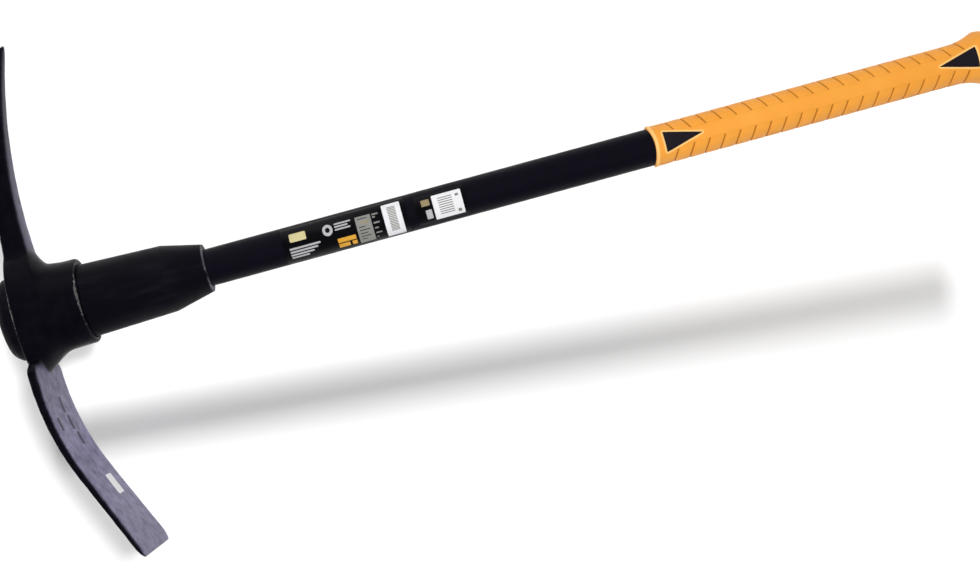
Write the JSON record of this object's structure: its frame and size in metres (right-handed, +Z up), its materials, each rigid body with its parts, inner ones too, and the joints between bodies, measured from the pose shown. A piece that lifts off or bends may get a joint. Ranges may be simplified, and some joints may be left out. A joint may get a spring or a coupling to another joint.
{
  "type": "pick mattock",
  "caption": "Pick mattock: a forged head with a curved pick and a broad bent blade, on a long oval handle with a moulded eye sleeve and a grooved rubber grip that flares at the butt.",
  "frame": {"origin": "middle of the flat top end of the handle, above the eye", "axes": "+X along the handle to the butt, +Y to the pick's point, +Z up, square to the plane of the head"},
  "size_m": [0.914, 0.4671, 0.09],
  "materials": {
    "head": "black lacquer over forged steel, worn to grey on the blade's inner face",
    "core": "pultruded fibreglass rod",
    "jacket": "satin black polypropylene",
    "sleeve": "black moulded plastic",
    "bond": "set adhesive",
    "plug": "black moulded plastic",
    "grip": "orange-yellow soft rubber",
    "inlay": "black moulded plastic"
  },
  "bodies": {
    "root": {"mattock_head": "head", "fibreglass_core": "core", "shaft_jacket": "jacket", "eye_sleeve": "sleeve", "sleeve_bond": "bond", "top_plug": "plug", "grip": "grip", "fore_inlays": "inlay", "butt_inlays": "inlay"}
  },
  "joints": []
}
